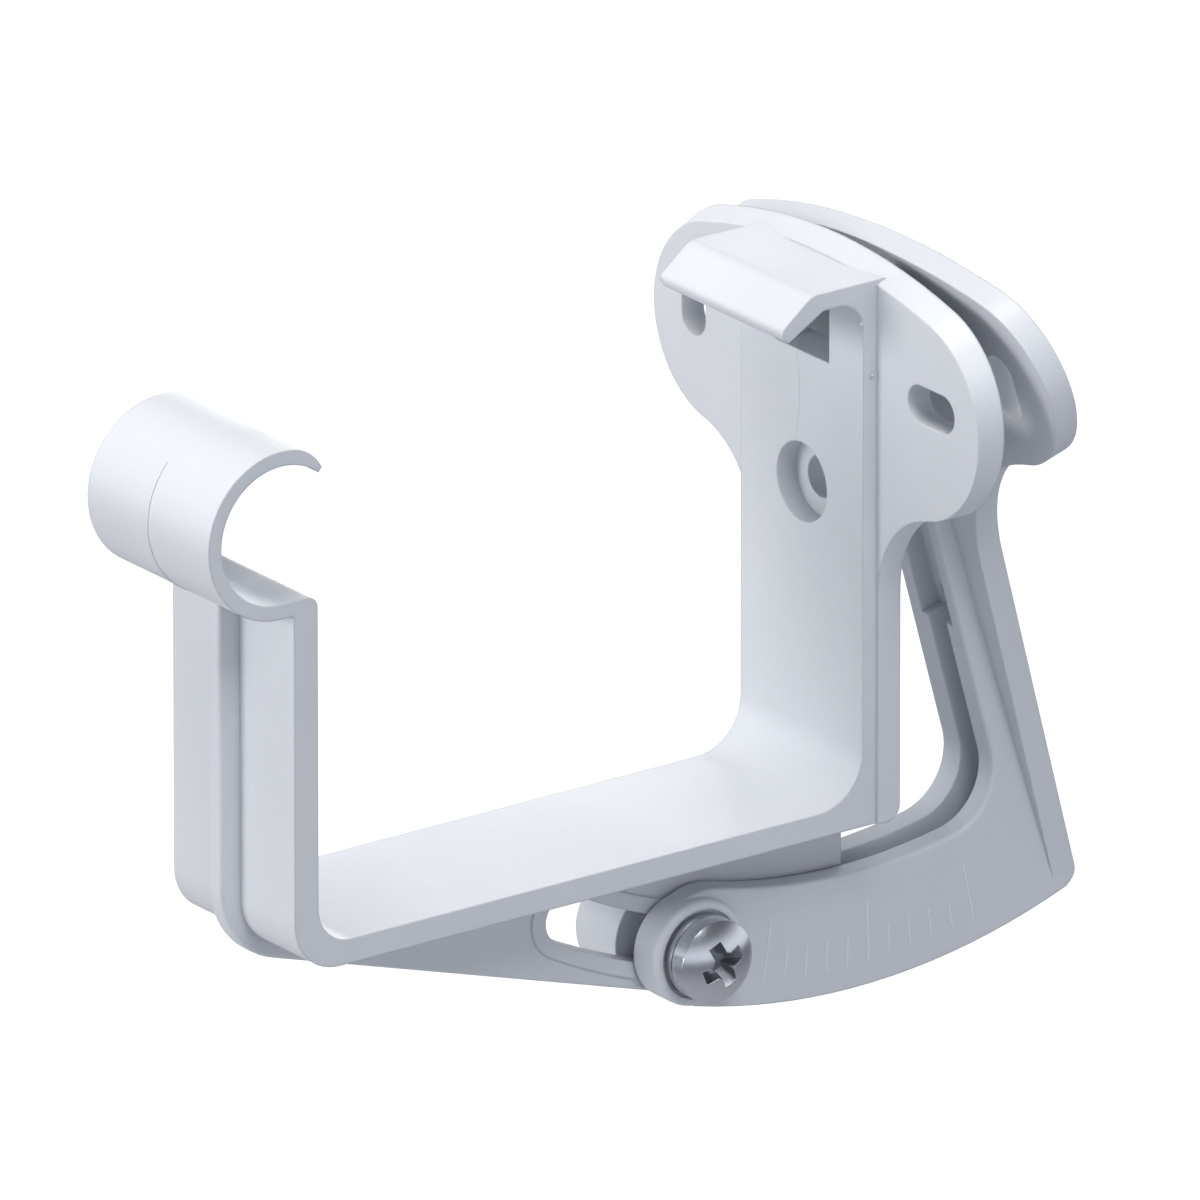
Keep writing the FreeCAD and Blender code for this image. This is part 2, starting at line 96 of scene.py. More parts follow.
def joint_place(name: str) -> Vector:
    """Position of a joint in the row frame, in metres.

    Args:
        name: the joint's name in the record.
    Returns:
        The point on its axis.
    """
    joint = next(j for j in frame["joints"] if j["name"] == name)
    return Vector(joint["pos_m"])


def mount_place(name: str) -> Vector:
    """Position of a mount in the row frame, in metres.

    Args:
        name: the mount's name in the record.
    Returns:
        The point on its axis or face.
    """
    mount = next(m for m in frame["record"]["mounts"] if m["name"] == name)
    return Vector(mount["pos_m"])


class ShaderTree:
    """A node tree with short calls for adding and joining nodes."""

    def __init__(self, tree: bpy.types.NodeTree) -> None:
        """Wrap a tree.

        Args:
            tree: the node tree to build in.
        """
        self.tree = tree

    def add(self, kind: str, **settings: object) -> bpy.types.Node:
        """Add a node.

        Args:
            kind: the node's type name.
            **settings: properties to set on it.
        Returns:
            The new node.
        """
        node = self.tree.nodes.new(kind)
        for key, value in settings.items():
            setattr(node, key, value)
        return node

    def join(self, source: bpy.types.NodeSocket, target: bpy.types.NodeSocket) -> None:
        """Link two sockets."""
        self.tree.links.new(source, target)

    def maths(self, operation: str, first: bpy.types.NodeSocket, second: object,
              clamp: bool = False) -> bpy.types.NodeSocket:
        """Add a Math node.

        Args:
            operation: the sum it does.
            first: the socket for its first input.
            second: a socket or a number for its second input.
            clamp: whether the result is kept between 0 and 1.
        Returns:
            Its output socket.
        """
        node = self.add("ShaderNodeMath", operation=operation, use_clamp=clamp)
        self.join(first, node.inputs[0])
        if isinstance(second, bpy.types.NodeSocket):
            self.join(second, node.inputs[1])
        else:
            node.inputs[1].default_value = second
        return node.outputs[0]

    def ramp(self, source: bpy.types.NodeSocket, low: float, high: float,
             out_low: float, out_high: float) -> bpy.types.NodeSocket:
        """Map a range of values to another, held at both ends.

        Args:
            source: the value.
            low: where the change starts.
            high: where it ends.
            out_low: the result at low.
            out_high: the result at high.
        Returns:
            The mapped value's socket.
        """
        node = self.add("ShaderNodeMapRange", clamp=True, interpolation_type="SMOOTHSTEP")
        self.join(source, node.inputs["Value"])
        for key, value in (("From Min", low), ("From Max", high), ("To Min", out_low),
                           ("To Max", out_high)):
            node.inputs[key].default_value = value
        return node.outputs["Result"]

    def blend(self, factor: bpy.types.NodeSocket, first: object,
              second: object) -> bpy.types.NodeSocket:
        """Mix two colours.

        Args:
            factor: the share of the second colour.
            first: a socket or a colour.
            second: a socket or a colour.
        Returns:
            The mixed colour's socket.
        """
        node = self.add("ShaderNodeMix", data_type="RGBA", clamp_factor=True)
        self.join(factor, node.inputs["Factor"])
        for index, value in ((6, first), (7, second)):
            if isinstance(value, bpy.types.NodeSocket):
                self.join(value, node.inputs[index])
            else:
                node.inputs[index].default_value = (*value, 1.0)
        return node.outputs[2]


class SharedEffects:
    """Shader node groups that several finishes use."""

    SPOT_SCALE = 260.0
    MOTTLE_SCALE = 38.0
    MOTTLE_SWELL = 1.5
    DUST_SCALE = 420.0

    def __init__(self) -> None:
        """Build every group once."""
        self.edges = self._build_edges()
        self.grain = self._build_grain()
        self.dust = self._build_dust()
        self.painted_crevice_shade = self._build_painted_crevice_shade()

    @staticmethod
    def _new_group(name: str, inputs: dict[str, float], outputs: dict[str, str]
                   ) -> tuple[bpy.types.NodeTree, ShaderTree, bpy.types.Node, bpy.types.Node]:
        """Start a group with its sockets.

        Args:
            name: the group's name.
            inputs: name and default of each value input.
            outputs: name and socket type of each output.
        Returns:
            The group, its wrapper, its input node and its output node.
        """
        group = bpy.data.node_groups.new(name, "ShaderNodeTree")
        for key, default in inputs.items():
            socket = group.interface.new_socket(name=key, in_out="INPUT",
                                                socket_type="NodeSocketFloat")
            socket.default_value = default
        for key, kind in outputs.items():
            group.interface.new_socket(name=key, in_out="OUTPUT", socket_type=kind)
        tree = ShaderTree(group)
        return group, tree, tree.add("NodeGroupInput"), tree.add("NodeGroupOutput")

    def _build_edges(self) -> bpy.types.NodeTree:
        """Rounded and lightly polished edges, along which the finishes also paint a highlight.

        Returns:
            A group with the softened normal and a mask of the convex edges.
        """
        group, tree, entry, leave = self._new_group(
            "moulded_edges", {"Radius": 0.0005, "Strength": 1.0},
            {"Normal": "NodeSocketVector", "Mask": "NodeSocketFloat"})
        round_off = tree.add("ShaderNodeBevel", samples=6)
        tree.join(entry.outputs["Radius"], round_off.inputs["Radius"])
        here = tree.add("ShaderNodeNewGeometry")
        match = tree.add("ShaderNodeVectorMath", operation="DOT_PRODUCT")
        tree.join(round_off.outputs["Normal"], match.inputs[0])
        tree.join(here.outputs["Normal"], match.inputs[1])
        turned = tree.ramp(match.outputs["Value"], 0.75, 0.995, 1.0, 0.0)
        spots = tree.add("ShaderNodeTexNoise")
        spots.inputs["Scale"].default_value = self.SPOT_SCALE
        place = tree.add("ShaderNodeTexCoord")
        tree.join(place.outputs["Object"], spots.inputs["Vector"])
        broken = tree.ramp(spots.outputs["Fac"], 0.35, 0.65, 0.45, 1.0)
        mask = tree.maths("MULTIPLY", turned, broken)
        mask = tree.maths("MULTIPLY", mask, entry.outputs["Strength"], clamp=True)
        tree.join(round_off.outputs["Normal"], leave.inputs["Normal"])
        tree.join(mask, leave.inputs["Mask"])
        return group

    def _build_grain(self) -> bpy.types.NodeTree:
        """Fine mould texture over a slow mottle.

        Returns:
            A group with a height and a slow mottle between 0 and 1.
        """
        group, tree, entry, leave = self._new_group(
            "mould_grain", {"Scale": 900.0, "Depth": 1.0},
            {"Height": "NodeSocketFloat", "Mottle": "NodeSocketFloat"})
        place = tree.add("ShaderNodeTexCoord")
        fine = tree.add("ShaderNodeTexNoise")
        fine.inputs["Detail"].default_value = 3.0
        tree.join(place.outputs["Object"], fine.inputs["Vector"])
        tree.join(entry.outputs["Scale"], fine.inputs["Scale"])
        slow = tree.add("ShaderNodeTexNoise")
        slow.inputs["Scale"].default_value = self.MOTTLE_SCALE
        slow.inputs["Detail"].default_value = 2.0
        tree.join(place.outputs["Object"], slow.inputs["Vector"])
        height = tree.maths("MULTIPLY", fine.outputs["Fac"], entry.outputs["Depth"])
        swell = tree.maths("MULTIPLY", slow.outputs["Fac"], self.MOTTLE_SWELL)
        tree.join(tree.maths("ADD", height, swell), leave.inputs["Height"])
        tree.join(tree.ramp(slow.outputs["Fac"], 0.3, 0.7, 0.0, 1.0), leave.inputs["Mottle"])
        return group

    def _build_dust(self) -> bpy.types.NodeTree:
        """Faint dust that settles on faces that look up.

        Returns:
            A group with a dust mask.
        """
        group, tree, entry, leave = self._new_group(
            "settled_dust", {"Amount": 0.2}, {"Mask": "NodeSocketFloat"})
        here = tree.add("ShaderNodeNewGeometry")
        apart = tree.add("ShaderNodeSeparateXYZ")
        tree.join(here.outputs["Normal"], apart.inputs[0])
        upward = tree.ramp(apart.outputs["Z"], 0.5, 1.0, 0.0, 1.0)
        place = tree.add("ShaderNodeTexCoord")
        specks = tree.add("ShaderNodeTexNoise")
        specks.inputs["Scale"].default_value = self.DUST_SCALE
        specks.inputs["Detail"].default_value = 5.0
        tree.join(place.outputs["Object"], specks.inputs["Vector"])
        thin = tree.ramp(specks.outputs["Fac"], 0.55, 0.75, 0.0, 1.0)
        mask = tree.maths("MULTIPLY", upward, thin)
        mask = tree.maths("MULTIPLY", mask, entry.outputs["Amount"], clamp=True)
        tree.join(mask, leave.inputs["Mask"])
        return group

    def _build_painted_crevice_shade(self) -> bpy.types.NodeTree:
        """Painted shade for the corners and gaps that little light enters, from ambient occlusion.

        Returns:
            A group with a mask of painted shade that grows into the gaps.
        """
        group, tree, entry, leave = self._new_group(
            "crevice_painted_shade", {"Reach": 0.01, "Amount": 0.4}, {"Mask": "NodeSocketFloat"})
        around = tree.add("ShaderNodeAmbientOcclusion", samples=8)
        tree.join(entry.outputs["Reach"], around.inputs["Distance"])
        closed = tree.ramp(around.outputs["AO"], 0.15, 0.85, 1.0, 0.0)
        mask = tree.maths("MULTIPLY", closed, entry.outputs["Amount"], clamp=True)
        tree.join(mask, leave.inputs["Mask"])
        return group

    @staticmethod
    def place(tree: ShaderTree, group: bpy.types.NodeTree, **values: float) -> bpy.types.Node:
        """Put a group in a material.

        Args:
            tree: the material's tree.
            group: the shared group.
            **values: its inputs, with underscores for spaces.
        Returns:
            The group node.
        """
        node = tree.add("ShaderNodeGroup", node_tree=group)
        for key, value in values.items():
            node.inputs[key.replace("_", " ")].default_value = value
        return node


@dataclass(frozen=True)
class PlasticFinish:
    """Satin cool-white moulded plastic, with a painted highlight along its edges and painted shade in its
    crevices.
    """

    name: str
    shade: Colour = (0.800, 0.822, 0.850)
    mottled: Colour = (0.770, 0.795, 0.830)
    # pale colour for the painted highlight along the convex edges
    edge: Colour = (0.90, 0.915, 0.93)
    # dark colour of the painted shade in crevices, where ambient occlusion closes in
    deep: Colour = (0.20, 0.215, 0.25)
    roughness: float = 0.38
    edge_radius: float = 0.00045
    grain_scale: float = 950.0
    grain_depth: float = 0.5
    # reach and amount of the painted crevice shade
    crevice_reach: float = 0.014
    painted_shade_amount: float = 0.30
    edge_strength: float = 0.7
    edge_polish: float = -0.10
    dust: Colour = (0.70, 0.69, 0.67)
    dust_amount: float = 0.12
    smoother: float = 0.05
    rougher: float = 0.06
    bump_strength: float = 0.25
    bump_height: float = 0.00004
    refraction: float = 1.48

    def make(self, effects: SharedEffects) -> bpy.types.Material:
        """Build the material.

        Args:
            effects: the shared node groups.
        Returns:
            The finished material.
        """
        material = bpy.data.materials.new(self.name)
        material.use_nodes = True
        tree = ShaderTree(material.node_tree)
        shader = material.node_tree.nodes["Principled BSDF"]
        grain = effects.place(tree, effects.grain, Scale=self.grain_scale, Depth=self.grain_depth)
        edges = effects.place(tree, effects.edges, Radius=self.edge_radius,
                              Strength=self.edge_strength)
        dust = effects.place(tree, effects.dust, Amount=self.dust_amount)
        colour = tree.blend(grain.outputs["Mottle"], self.shade, self.mottled)
        # paint a highlight along the convex edges
        colour = tree.blend(edges.outputs["Mask"], colour, self.edge)
        colour = tree.blend(dust.outputs["Mask"], colour, self.dust)
        # paint shade into the crevices, from ambient occlusion
        painted_crevice_shade = effects.place(tree, effects.painted_crevice_shade, Reach=self.crevice_reach,
                                Amount=self.painted_shade_amount)
        colour = tree.blend(painted_crevice_shade.outputs["Mask"], colour, self.deep)
        tree.join(colour, shader.inputs["Base Color"])
        rough = tree.ramp(grain.outputs["Mottle"], 0.0, 1.0, self.roughness - self.smoother,
                          self.roughness + self.rougher)
        polished = tree.maths("MULTIPLY", edges.outputs["Mask"], self.edge_polish)
        tree.join(tree.maths("ADD", rough, polished), shader.inputs["Roughness"])
        bump = tree.add("ShaderNodeBump")
        bump.inputs["Strength"].default_value = self.bump_strength
        bump.inputs["Distance"].default_value = self.bump_height
        tree.join(grain.outputs["Height"], bump.inputs["Height"])
        tree.join(edges.outputs["Normal"], bump.inputs["Normal"])
        tree.join(bump.outputs["Normal"], shader.inputs["Normal"])
        shader.inputs["IOR"].default_value = self.refraction
        return material


@dataclass(frozen=True)
class SteelFinish:
    """Bright plated steel with fine turning marks and worn edges that also carry a painted highlight."""

    name: str
    shade: Colour = (0.72, 0.74, 0.77)
    # edge colour: wear and a painted highlight along the edges
    wear_and_highlight: Colour = (0.88, 0.89, 0.92)
    roughness: float = 0.29
    edge_radius: float = 0.0002
    marks_scale: float = 2600.0
    smoother: float = 0.05
    rougher: float = 0.10
    bump_strength: float = 0.3
    bump_height: float = 0.00002

    def make(self, effects: SharedEffects) -> bpy.types.Material:
        """Build the material.

        Args:
            effects: the shared node groups.
        Returns:
            The finished material.
        """
        material = bpy.data.materials.new(self.name)
        material.use_nodes = True
        tree = ShaderTree(material.node_tree)
        shader = material.node_tree.nodes["Principled BSDF"]
        shader.inputs["Metallic"].default_value = 1.0
        grain = effects.place(tree, effects.grain, Scale=self.marks_scale, Depth=1.0)
        edges = effects.place(tree, effects.edges, Radius=self.edge_radius, Strength=1.0)
        # lighter edges: wear and a painted highlight
        colour = tree.blend(edges.outputs["Mask"], self.shade, self.wear_and_highlight)
        tree.join(colour, shader.inputs["Base Color"])
        rough = tree.ramp(grain.outputs["Mottle"], 0.0, 1.0, self.roughness - self.smoother,
                          self.roughness + self.rougher)
        tree.join(rough, shader.inputs["Roughness"])
        bump = tree.add("ShaderNodeBump")
        bump.inputs["Strength"].default_value = self.bump_strength
        bump.inputs["Distance"].default_value = self.bump_height
        tree.join(grain.outputs["Height"], bump.inputs["Height"])
        tree.join(edges.outputs["Normal"], bump.inputs["Normal"])
        tree.join(bump.outputs["Normal"], shader.inputs["Normal"])
        return material


class Workshop:
    """Turns bmesh shapes into dressed pieces that ride on a body."""

    def __init__(self) -> None:
        """Prepare the finishes."""
        self.effects = SharedEffects()
        # lighter copy of the plate plastic: a painted highlight on the raised scale lines
        self.scale_lines_painted_highlight = PlasticFinish(
            "scale_lines_painted_highlight", shade=(0.96, 0.97, 0.98), mottled=(0.93, 0.945, 0.96),
            edge_radius=0.00005).make(self.effects)
        self.flow_mark = PlasticFinish(
            "flow_mark", shade=(0.60, 0.625, 0.67), mottled=(0.56, 0.59, 0.64),
            edge_radius=0.00005).make(self.effects)
        # darker steel: painted shade inside the screw's cross recess
        self.recess_painted_shade = SteelFinish(
            "recess_painted_shade", shade=(0.42, 0.43, 0.46), wear_and_highlight=(0.72, 0.73, 0.76),
            roughness=0.40).make(self.effects)
        self.finishes: dict[Slot, bpy.types.Material] = {
            Slot.HOOK: PlasticFinish("hook_plastic").make(self.effects),
            Slot.PLATE: PlasticFinish("plate_plastic", shade=(0.775, 0.798, 0.832),
                                      mottled=(0.745, 0.772, 0.812)).make(self.effects),
            Slot.SCREW: SteelFinish("screw_steel").make(self.effects),
            Slot.WASHER: SteelFinish("washer_steel", shade=(0.52, 0.53, 0.55), roughness=0.34).make(
                self.effects),
            Slot.NUT: SteelFinish("nut_steel", shade=(0.62, 0.63, 0.65), roughness=0.30).make(
                self.effects),
        }

    def dress_node(self, node: str, slot: Slot) -> None:
        """Give a CAD node its finish.

        Args:
            node: the node's name.
            slot: the slot whose finish it takes.
        """
        piece = frame["nodes"][node]
        piece.data.materials.clear()
        piece.data.materials.append(self.finishes[slot])
        log.info("dressed %s with %s", node, slot.value)

    def piece(self, name: str, shape: bmesh.types.BMesh, body: Body, slot: Slot,
              smooth_angle: float = 35.0,
              finish: bpy.types.Material | None = None) -> bpy.types.Object:
        """Make an object from a shape that is already in its place.

        Args:
            name: the piece's name.
            shape: the finished bmesh, in the row frame; it is freed.
            body: the body that it rides on.
            slot: the slot whose finish it takes where no finish is given.
            smooth_angle: edges sharper than this stay sharp, in degrees.
            finish: its finish, where it isn't the slot's own.
        Returns:
            The new object.
        """
        mesh = bpy.data.meshes.new(name)
        for edge in shape.edges:
            faces = edge.link_faces
            edge.smooth = len(faces) == 2 and edge.calc_face_angle(0.0) < radians(smooth_angle)
        for face in shape.faces:
            face.smooth = True
        shape.to_mesh(mesh)
        shape.free()
        mesh.materials.append(finish or self.finishes[slot])
        thing = bpy.data.objects.new(name, mesh)
        bpy.context.scene.collection.objects.link(thing)
        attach(thing, body.value)
        log.info("built %s on %s", name, body.value)
        return thing


def merge_and_turn_out(shape: bmesh.types.BMesh) -> None:
    """Merge doubled points and point every face outwards.

    Args:
        shape: the bmesh to clean.
    """
    bmesh.ops.remove_doubles(shape, verts=shape.verts, dist=1e-7)
    bmesh.ops.recalc_face_normals(shape, faces=shape.faces)


def profile_spin(points: list[tuple[float, float]], axis_place: Vector,
                 steps: int) -> bmesh.types.BMesh:
    """Spin an outline given along X and outwards round an axis parallel to X.

    Args:
        points: pairs of X and radius in metres, from one end on the axis to the other.
        axis_place: a point on the axis.
        steps: how many faces go round.
    Returns:
        The closed shape of revolution.
    """
    shape = bmesh.new()
    centre = Vector((0.0, axis_place.y, axis_place.z))
    verts = [shape.verts.new(centre + Vector((x, 0.0, r))) for x, r in points]
    edges = [shape.edges.new(pair) for pair in zip(verts, verts[1:])]
    bmesh.ops.spin(shape, geom=verts + edges, cent=centre, axis=(1.0, 0.0, 0.0),
                   dvec=(0.0, 0.0, 0.0), angle=2 * pi, steps=steps, use_merge=True,
                   use_duplicate=False)
    merge_and_turn_out(shape)
    return shape


@dataclass
class ClampScrew:
    """Pan head screw with a cross recess and a rolled thread."""

    workshop: Workshop
    head_radius: float = 5.98 * MM
    head_side: float = 2.65 * MM
    root_radius: float = 2.55 * MM
    crest_radius: float = 2.99 * MM
    pitch: float = 1.0 * MM
    plain_length: float = 1.0 * MM
    recess_depth: float = 2.9 * MM
    recess_width: float = 2.5 * MM
    recess_reach: float = 4.6 * MM
    recess_turn: float = 24.0
    core_tip: float = 0.6 * MM
    core_mouth: float = 2.5 * MM
    seat_gap: float = 0.05 * MM
    head_round: float = 0.25 * MM
    dome_steps: int = 16
    recess_spare: float = 1.0 * MM
    recess_floor_reach: float = 0.36
    recess_floor_width: float = 0.62
    recess_margin: float = 0.1 * MM
    recess_skin: float = 0.12 * MM
    tip_drop: float = 0.45 * MM
    tip_length: float = 0.5 * MM
    thread_start: float = 0.7 * MM
    thread_sunk: float = 0.1 * MM
    ridge_half: float = 0.44
    crest_half: float = 0.06 * MM
    steps: int = 96
    steps_per_turn: int = 28

    def __post_init__(self) -> None:
        """Take the place of the CAD screw."""
        low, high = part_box("clamp_screw")
        _, washer_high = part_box("clamp_washer")
        self.centre = joint_place("clamp_turn")
        self.tip = low[0]
        self.apex = high[0]
        self.under_head = washer_high[0] + self.seat_gap

    def head_outline(self) -> list[tuple[float, float]]:
        """Outline of the head and the plain neck, from the neck's end to the apex.

        Returns:
            Pairs of X and radius.
        """
        points = [(self.under_head - self.plain_length, 0.0),
                  (self.under_head - self.plain_length, self.root_radius),
                  (self.under_head, self.root_radius),
                  (self.under_head, self.head_radius - self.head_round),
                  (self.under_head + self.head_round, self.head_radius)]
        count = self.dome_steps
        for i in range(count + 1):
            radius = self.head_radius * cos(pi / 2 * i / count) if i < count else 0.0
            points.append((self.dome_at(radius), radius))
        return points

    def recess_cutter(self) -> bmesh.types.BMesh:
        """Two crossed tapering blades round a cone that widens towards the mouth.

        Returns:
            The cutter in the screw's place.
        """
        cutter = bmesh.new()
        start = self.apex - self.recess_depth
        length = self.recess_depth + self.recess_spare
        for turn in (0.0, 90.0):
            made = bmesh.ops.create_cube(cutter, size=1.0)["verts"]
            bmesh.ops.scale(cutter, verts=made,
                            vec=(length, 2 * self.recess_reach, self.recess_width))
            bmesh.ops.translate(cutter, verts=made, vec=(start + length / 2, 0.0, 0.0))
            deep = [v for v in made if v.co.x < start + length / 2]
            for v in deep:
                v.co.y *= self.recess_floor_reach
                v.co.z *= self.recess_floor_width
            spin = Matrix.Rotation(radians(self.recess_turn + turn), 3, "X")
            bmesh.ops.rotate(cutter, verts=made, cent=(0.0, 0.0, 0.0), matrix=spin)
        core = bmesh.ops.create_cone(cutter, cap_ends=True, segments=32, radius1=self.core_tip,
                                     radius2=self.core_mouth, depth=length)["verts"]
        lay = Matrix.Rotation(radians(90.0), 3, "Y")
        bmesh.ops.rotate(cutter, verts=core, cent=(0.0, 0.0, 0.0), matrix=lay)
        bmesh.ops.translate(cutter, verts=core, vec=(start + length / 2, 0.0, 0.0))
        bmesh.ops.translate(cutter, verts=cutter.verts, vec=(0.0, self.centre.y, self.centre.z))
        return cutter

    def cut_recess(self, head: bmesh.types.BMesh) -> bmesh.types.BMesh:
        """Cut the cross recess out of the head.

        Args:
            head: the plain head; it is freed.
        Returns:
            The head with its recess.
        """
        objects = []
        for name, shape in (("head_blank", head), ("recess_cutter", self.recess_cutter())):
            mesh = bpy.data.meshes.new(name)
            shape.to_mesh(mesh)
            shape.free()
            thing = bpy.data.objects.new(name, mesh)
            bpy.context.scene.collection.objects.link(thing)
            objects.append(thing)
        blank, cutter = objects
        cut = blank.modifiers.new("recess", "BOOLEAN")
        cut.operation = "DIFFERENCE"
        cut.solver = "EXACT"
        cut.use_self = True
        cut.object = cutter
        bpy.context.view_layer.update()
        seen = blank.evaluated_get(bpy.context.evaluated_depsgraph_get())
        result = bmesh.new()
        result.from_mesh(seen.to_mesh())
        seen.to_mesh_clear()
        for thing in objects:
            bpy.data.objects.remove(thing)
        return result

    def paint_recess_shade(self, head: bpy.types.Object) -> None:
        """Paint shade on the walls of the recess with a darker, rougher steel.

        Args:
            head: the finished head.
        """
        head.data.materials.append(self.workshop.recess_painted_shade)
        start = self.apex - self.recess_depth - self.recess_margin
        for face in head.data.polygons:
            reach = (face.center.y - self.centre.y, face.center.z - self.centre.z)
            radius = (reach[0] ** 2 + reach[1] ** 2) ** 0.5
            skin = self.dome_at(radius) - self.recess_skin
            if radius < self.recess_reach and start < face.center.x < skin:
                face.material_index = 1

    def dome_at(self, radius: float) -> float:
        """Place of the domed face along X.

        Args:
            radius: distance from the screw's axis.
        Returns:
            Its X.
        """
        rise = self.apex - self.under_head - self.head_side
        dome = (self.head_radius ** 2 + rise ** 2) / (2 * rise)
        return self.apex - dome + (dome ** 2 - radius ** 2) ** 0.5

    def thread(self) -> bmesh.types.BMesh:
        """Core of the shank with a helical ridge wound round it.

        Returns:
            The threaded shank, a little pointed at its tip.
        """
        end = self.under_head - self.plain_length
        outline = [(self.tip, 0.0), (self.tip, self.root_radius - self.tip_drop),
                   (self.tip + self.tip_length, self.root_radius), (end, self.root_radius),
                   (end, 0.0)]
        core = profile_spin(outline, self.centre, self.steps // 2)
        centre = Vector((0.0, self.centre.y, self.centre.z))
        start = self.tip + self.thread_start
        half = self.pitch * self.ridge_half
        sunk = self.root_radius - self.thread_sunk
        corners = [(start, sunk), (start + half - self.crest_half, self.crest_radius),
                   (start + half + self.crest_half, self.crest_radius), (start + 2 * half, sunk)]
        verts = [core.verts.new(centre + Vector((x, 0.0, r))) for x, r in corners]
        face = core.faces.new(verts)
        turns = int((end - start - self.pitch) / self.pitch)
        geometry = list(face.verts) + list(face.edges) + [face]
        bmesh.ops.spin(core, geom=geometry, cent=centre, axis=(1.0, 0.0, 0.0),
                       dvec=(self.pitch / self.steps_per_turn, 0.0, 0.0), angle=2 * pi * turns,
                       steps=self.steps_per_turn * turns, use_merge=False, use_duplicate=False)
        merge_and_turn_out(core)
        return core

    def build(self) -> None:
        """Make the head and the shank in place of the CAD screw."""
        head = self.cut_recess(profile_spin(self.head_outline(), self.centre, self.steps))
        top = self.workshop.piece("screw_head", head, Body.SCREW, Slot.SCREW, smooth_angle=28.0)
        self.paint_recess_shade(top)
        shank = self.workshop.piece("screw_shank", self.thread(), Body.SCREW, Slot.SCREW)
        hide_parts("clamp_screw")
        log.info("screw from %.4f to %.4f with %s", self.tip, self.apex, shank.name)


@dataclass
class ClampNut:
    """Hexagonal nut with chamfered corners."""

    workshop: Workshop
    flats: float = 9.95 * MM
    bore: float = 3.05 * MM
    chamfer: float = 0.35 * MM
    screw_angle: float = 33.85
    plate_lean: float = 17.5
    side_cuts: int = 7

    def build(self) -> None:
        """Make the nut in the CAD nut's place."""
        low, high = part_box("clamp_nut")
        centre = joint_place("clamp_turn")
        corner = self.flats / 2 / cos(radians(30.0))
        shape = bmesh.new()
        outer = bmesh.ops.create_circle(shape, cap_ends=False, radius=corner, segments=6)["verts"]
        turn = Matrix.Rotation(radians(90.0), 3, "Y")
        bmesh.ops.rotate(shape, verts=outer, cent=(0.0, 0.0, 0.0), matrix=turn)
        nut_turn = Matrix.Rotation(radians(self.screw_angle - self.plate_lean), 3, "X")
        bmesh.ops.rotate(shape, verts=outer, cent=(0.0, 0.0, 0.0), matrix=nut_turn)
        bmesh.ops.subdivide_edges(shape, edges=list(shape.edges), cuts=self.side_cuts,
                                  use_grid_fill=False)
        rim = list(shape.edges)
        inside = bmesh.ops.extrude_edge_only(shape, edges=rim)["geom"]
        inner = [v for v in inside if isinstance(v, bmesh.types.BMVert)]
        for v in inner:
            v.co = Vector((0.0, v.co.y, v.co.z)).normalized() * self.bore
        faces = list(shape.faces)
        grown = bmesh.ops.extrude_face_region(shape, geom=faces)["geom"]
        moved = [v for v in grown if isinstance(v, bmesh.types.BMVert)]
        bmesh.ops.translate(shape, verts=moved, vec=(high[0] - low[0], 0.0, 0.0))
        limit = corner - self.chamfer
        for v in shape.verts:
            reach = Vector((0.0, v.co.y, v.co.z)).length
            if reach > limit:
                v.co.y *= limit / reach
                v.co.z *= limit / reach
        bmesh.ops.translate(shape, verts=shape.verts, vec=(low[0], centre.y, centre.z))
        merge_and_turn_out(shape)
        nut = self.workshop.piece("captive_nut", shape, Body.REAR, Slot.NUT)
        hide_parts("clamp_nut")


@dataclass
class TiltScale:
    """Raised lines on the near cheek that the web's rear edge points to."""

    workshop: Workshop
    first_angle: float = -11.66
    last_angle: float = 8.76
    count: int = 11
    outer_radius: float = 102.0 * MM
    width: float = 0.36 * MM
    proud: float = 0.15 * MM
    cheek_face: float = 5.5 * MM
    crest_share: tuple[float, float, float] = (1.0, 0.5, 0.985)
    long_every: int = 5

    def line(self, shape: bmesh.types.BMesh, angle: float, inner: float) -> None:
        """Add one line of the scale.

        Args:
            shape: the bmesh that gathers the lines.
            angle: its angle under the pivot towards the front, in degrees.
            inner: the radius at which it begins.
        """
        made = bmesh.ops.create_cube(shape, size=1.0)["verts"]
        length = self.outer_radius - inner
        bmesh.ops.scale(shape, verts=made, vec=(2 * self.proud, self.width, length))
        top = [v for v in made if v.co.x > 0]
        bmesh.ops.scale(shape, verts=top, vec=self.crest_share)
        bmesh.ops.translate(shape, verts=made, vec=(self.cheek_face, 0.0, -(inner + length / 2)))
        turn = Matrix.Rotation(radians(-angle), 3, "X")
        bmesh.ops.rotate(shape, verts=made, cent=(0.0, 0.0, 0.0), matrix=turn)

    def build(self) -> None:
        """Make all the lines as one piece."""
        pivot = joint_place("tilt")
        shape = bmesh.new()
        step = (self.last_angle - self.first_angle) / (self.count - 1)
        for i in range(self.count):
            kind = TickKind.LONG if i % self.long_every == 0 else TickKind.SHORT
            self.line(shape, self.first_angle + i * step, kind.value * MM)
        bmesh.ops.translate(shape, verts=shape.verts, vec=(0.0, pivot.y, pivot.z))
        merge_and_turn_out(shape)
        # the lines take the lighter plastic, a painted highlight
        self.workshop.piece("tilt_scale", shape, Body.REAR, Slot.PLATE, smooth_angle=10.0,
                            finish=self.workshop.scale_lines_painted_highlight)


